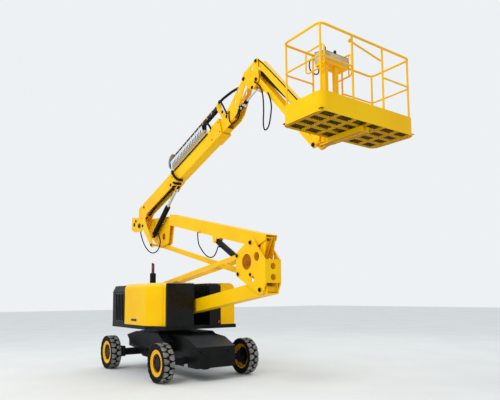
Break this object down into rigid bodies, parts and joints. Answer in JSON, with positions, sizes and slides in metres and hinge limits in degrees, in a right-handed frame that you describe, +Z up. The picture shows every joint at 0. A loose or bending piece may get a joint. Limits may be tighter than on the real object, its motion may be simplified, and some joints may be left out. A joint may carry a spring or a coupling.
{
  "type": "articulating boom lift",
  "caption": "Self-propelled aerial work platform: folding two-stage tower, telescopic boom and jib on a slewing turntable over a wheeled chassis.",
  "frame": {"origin": "on the ground under the middle of the whole machine's box", "axes": "+X towards the platform, +Y to the machine's left, +Z up"},
  "size_m": [7.6529, 2.128, 5.6607],
  "materials": {
    "black": "satin",
    "chrome": "polished",
    "console": "satin",
    "dark": "satin",
    "galvanised": "satin",
    "hose": "satin",
    "lamp": "gloss",
    "moulded": "satin",
    "tyre": "matte",
    "yellow": "gloss"
  },
  "bodies": {
    "chassis": {"chassis_frame": "black", "drive_axle": "dark", "steer_axle": "dark"},
    "turntable": {"turntable_deck": "black", "counterweight": "black", "engine_block": "dark", "exhaust_stack": "dark", "deck_lamp": "lamp", "front_cover": "moulded", "hood_right": "yellow", "hood_left": "yellow", "tail_covers": "black"},
    "door_right": {"door_right": "yellow"},
    "door_left": {"door_left": "yellow"},
    "lower_riser": {"lower_riser": "yellow"},
    "lower_link": {"lower_link": "yellow"},
    "elbow_frame": {"elbow_frame": "yellow"},
    "upper_riser": {"upper_riser": "yellow", "tower_hose": "hose"},
    "upper_link": {"upper_link": "yellow"},
    "timing_link": {"timing_link": "yellow"},
    "tower_barrel": {"tower_cylinder_barrel": "black"},
    "tower_rod": {"tower_cylinder_rod": "chrome"},
    "top_link": {"top_link": "yellow", "top_hose": "hose"},
    "main_boom": {"main_boom": "yellow", "chain_tray": "galvanised", "hose_chain": "moulded"},
    "lift_barrel": {"lift_cylinder_barrel": "black"},
    "lift_rod": {"lift_cylinder_rod": "chrome"},
    "fly_boom": {"fly_boom": "yellow", "head_hose": "hose"},
    "level_barrel": {"level_cylinder_barrel": "black"},
    "level_rod": {"level_cylinder_rod": "chrome"},
    "jib_knuckle": {"jib_knuckle": "yellow", "jib_hose": "hose"},
    "jib_lower_bar": {"jib_lower_bar": "yellow"},
    "jib_upper_bar": {"jib_upper_bar": "yellow"},
    "jib_barrel": {"jib_cylinder_barrel": "black"},
    "jib_rod": {"jib_cylinder_rod": "chrome"},
    "platform_bracket": {"platform_bracket": "yellow"},
    "platform": {"platform_floor": "yellow", "platform_rails": "yellow", "console": "console", "console_cable": "hose"},
    "gate": {"gate_bar": "yellow"},
    "steer_right_hub": {"steer_knuckle_right": "dark"},
    "steer_left_hub": {"steer_knuckle_left": "dark"},
    "tie_rod": {"tie_rod": "dark"},
    "wheel_front_right": {"tyre_front_right": "tyre", "rim_front_right": "yellow"},
    "wheel_front_left": {"tyre_front_left": "tyre", "rim_front_left": "yellow"},
    "wheel_rear_right": {"tyre_rear_right": "tyre", "rim_rear_right": "yellow"},
    "wheel_rear_left": {"tyre_rear_left": "tyre", "rim_rear_left": "yellow"}
  },
  "joints": [
    {"name": "slew", "type": "hinge", "parent": "chassis", "child": "turntable", "pos_m": [-1.85964, 0, 0.95], "axis": [0, 0, 1], "range_deg": [-177.5, 177.5]},
    {"name": "tower_lift", "type": "hinge", "parent": "turntable", "child": "lower_riser", "pos_m": [-1.75964, 0, 1.236], "axis": [0, -1, 0], "range_deg": [-6, 52]},
    {"name": "lower_link_pivot", "type": "hinge", "parent": "turntable", "child": "lower_link", "pos_m": [-2.41664, 0, 1.843], "axis": [0, -1, 0], "range_deg": [-8, 54]},
    {"name": "elbow_pivot", "type": "hinge", "parent": "lower_riser", "child": "elbow_frame", "pos_m": [1.46467, 0, 1.68915], "axis": [0, -1, 0], "range_deg": [-54, 8]},
    {"name": "upper_riser_pivot", "type": "hinge", "parent": "elbow_frame", "child": "upper_riser", "pos_m": [1.20667, 0, 2.49515], "axis": [0, 1, 0], "range_deg": [-8, 54]},
    {"name": "upper_link_pivot", "type": "hinge", "parent": "elbow_frame", "child": "upper_link", "pos_m": [0.83567, 0, 1.97215], "axis": [0, 1, 0], "range_deg": [-8, 54]},
    {"name": "top_link_pivot", "type": "hinge", "parent": "upper_riser", "child": "top_link", "pos_m": [-2.27147, 0, 3.31735], "axis": [0, 1, 0], "range_deg": [-54, 8]},
    {"name": "timing_link_pivot", "type": "hinge", "parent": "upper_riser", "child": "timing_link", "pos_m": [1.50467, 0, 2.56115], "axis": [0, -1, 0], "range_deg": [-8.1, 54.6]},
    {"name": "tower_cylinder_pivot", "type": "hinge", "parent": "upper_riser", "child": "tower_barrel", "pos_m": [-0.02927, 0, 2.64731], "axis": [0, -1, 0], "range_deg": [-3.4, 14.3]},
    {"name": "tower_cylinder_stroke", "type": "slide", "parent": "tower_barrel", "child": "tower_rod", "axis": [0.8684, 0, -0.4959], "range_m": [-0.0483, 0.3584]},
    {"name": "boom_lift", "type": "hinge", "parent": "top_link", "child": "main_boom", "pos_m": [-3.33147, 0, 3.32035], "axis": [0, -1, 0], "range_deg": [-14, 47]},
    {"name": "lift_cylinder_pivot", "type": "hinge", "parent": "top_link", "child": "lift_barrel", "pos_m": [-2.84047, 0, 3.03335], "axis": [0, -1, 0], "range_deg": [-16.3, 49.9]},
    {"name": "lift_cylinder_stroke", "type": "slide", "parent": "lift_barrel", "child": "lift_rod", "axis": [0.7781, 0, 0.6281], "range_m": [-0.1472, 0.4662]},
    {"name": "telescope", "type": "slide", "parent": "main_boom", "child": "fly_boom", "axis": [0.9521, 0, 0.3057], "range_m": [0, 1.25]},
    {"name": "knuckle_level", "type": "hinge", "parent": "fly_boom", "child": "jib_knuckle", "pos_m": [1.06368, 0, 5.42781], "axis": [0, -1, 0], "range_deg": [-49, 16]},
    {"name": "level_cylinder_pivot", "type": "hinge", "parent": "fly_boom", "child": "level_barrel", "pos_m": [0.55366, 0, 4.89331], "axis": [0, -1, 0], "range_deg": [-5.4, 3]},
    {"name": "level_cylinder_stroke", "type": "slide", "parent": "level_barrel", "child": "level_rod", "axis": [0.9369, 0, 0.3495], "range_m": [-0.2904, 0.0916]},
    {"name": "jib_lift", "type": "hinge", "parent": "jib_knuckle", "child": "jib_lower_bar", "pos_m": [1.44468, 0, 5.28281], "axis": [0, -1, 0], "range_deg": [-10, 112]},
    {"name": "jib_upper_pivot", "type": "hinge", "parent": "jib_knuckle", "child": "jib_upper_bar", "pos_m": [1.43768, 0, 5.61081], "axis": [0, -1, 0], "range_deg": [-12.4, 114.4]},
    {"name": "jib_cylinder_pivot", "type": "hinge", "parent": "jib_knuckle", "child": "jib_barrel", "pos_m": [1.44468, 0, 5.42281], "axis": [0, -1, 0], "range_deg": [-12.3, 113]},
    {"name": "jib_cylinder_stroke", "type": "slide", "parent": "jib_barrel", "child": "jib_rod", "axis": [0.7205, 0, -0.6934], "range_m": [-0.036, 0.3308]},
    {"name": "bracket_level", "type": "hinge", "parent": "jib_lower_bar", "child": "platform_bracket", "pos_m": [2.80947, 0, 3.78818], "axis": [0, -1, 0], "range_deg": [-114.4, 12.4]},
    {"name": "platform_rotate", "type": "hinge", "parent": "platform_bracket", "child": "platform", "pos_m": [2.93147, -0.08, 3.78818], "axis": [0, 0, 1], "range_deg": [-90, 90]},
    {"name": "gate_swing", "type": "hinge", "parent": "platform", "child": "gate", "pos_m": [3.76047, -0.394, 4.90818], "axis": [1, 0, 0], "range_deg": [0, 78]},
    {"name": "door_right_swing", "type": "hinge", "parent": "turntable", "child": "door_right", "pos_m": [-1.55964, -0.8, 1.866], "axis": [-1, 0, 0], "range_deg": [0, 75]},
    {"name": "door_left_swing", "type": "hinge", "parent": "turntable", "child": "door_left", "pos_m": [-1.55964, 0.8, 1.866], "axis": [1, 0, 0], "range_deg": [0, 75]},
    {"name": "steer_right", "type": "hinge", "parent": "chassis", "child": "steer_right_hub", "pos_m": [-3.13464, -0.7015, 0.366], "axis": [0, 0, 1], "range_deg": [-24, 24]},
    {"name": "steer_left", "type": "hinge", "parent": "chassis", "child": "steer_left_hub", "pos_m": [-3.13464, 0.7015, 0.366], "axis": [0, 0, 1], "range_deg": [-26, 26]},
    {"name": "tie_rod_slide", "type": "slide", "parent": "chassis", "child": "tie_rod", "axis": [0, 1, 0], "range_m": [-0.0888, 0.0888]},
    {"name": "wheel_front_right_spin", "type": "hinge", "parent": "chassis", "child": "wheel_front_right", "pos_m": [-0.58464, -0.9465, 0.366], "axis": [0, 1, 0], "continuous": true},
    {"name": "wheel_front_left_spin", "type": "hinge", "parent": "chassis", "child": "wheel_front_left", "pos_m": [-0.58464, 0.9465, 0.366], "axis": [0, 1, 0], "continuous": true},
    {"name": "wheel_rear_right_spin", "type": "hinge", "parent": "steer_right_hub", "child": "wheel_rear_right", "pos_m": [-3.13464, -0.9465, 0.366], "axis": [0, 1, 0], "continuous": true},
    {"name": "wheel_rear_left_spin", "type": "hinge", "parent": "steer_left_hub", "child": "wheel_rear_left", "pos_m": [-3.13464, 0.9465, 0.366], "axis": [0, 1, 0], "continuous": true}
  ],
  "couplings": [
    {"joint": "lower_link_pivot", "follows": "tower_lift", "ratio": 1},
    {"joint": "elbow_pivot", "follows": "tower_lift", "ratio": -1},
    {"joint": "upper_riser_pivot", "follows": "tower_lift", "ratio": 1},
    {"joint": "upper_link_pivot", "follows": "tower_lift", "ratio": 1},
    {"joint": "top_link_pivot", "follows": "tower_lift", "ratio": -1},
    {"joint": "timing_link_pivot", "follows": "tower_lift", "ratio": 1.0115},
    {"joint": "tower_cylinder_pivot", "follows": "tower_lift", "ratio": 0.2374},
    {"joint": "tower_cylinder_stroke", "follows": "tower_lift", "m_per_rad": 0.3863},
    {"joint": "lift_cylinder_pivot", "follows": "boom_lift", "ratio": 1.0189},
    {"joint": "lift_cylinder_stroke", "follows": "boom_lift", "m_per_rad": 0.554},
    {"joint": "knuckle_level", "follows": "boom_lift", "ratio": -1},
    {"joint": "level_cylinder_pivot", "follows": "boom_lift", "ratio": -0.0729},
    {"joint": "level_cylinder_stroke", "follows": "boom_lift", "m_per_rad": -0.345},
    {"joint": "jib_upper_pivot", "follows": "jib_lift", "ratio": 1},
    {"joint": "jib_cylinder_pivot", "follows": "jib_lift", "ratio": 0.9873},
    {"joint": "jib_cylinder_stroke", "follows": "jib_lift", "m_per_rad": 0.1656},
    {"joint": "bracket_level", "follows": "jib_lift", "ratio": -1},
    {"joint": "steer_left", "follows": "steer_right", "ratio": 1},
    {"joint": "tie_rod_slide", "follows": "steer_right", "m_per_rad": -0.2}
  ]
}
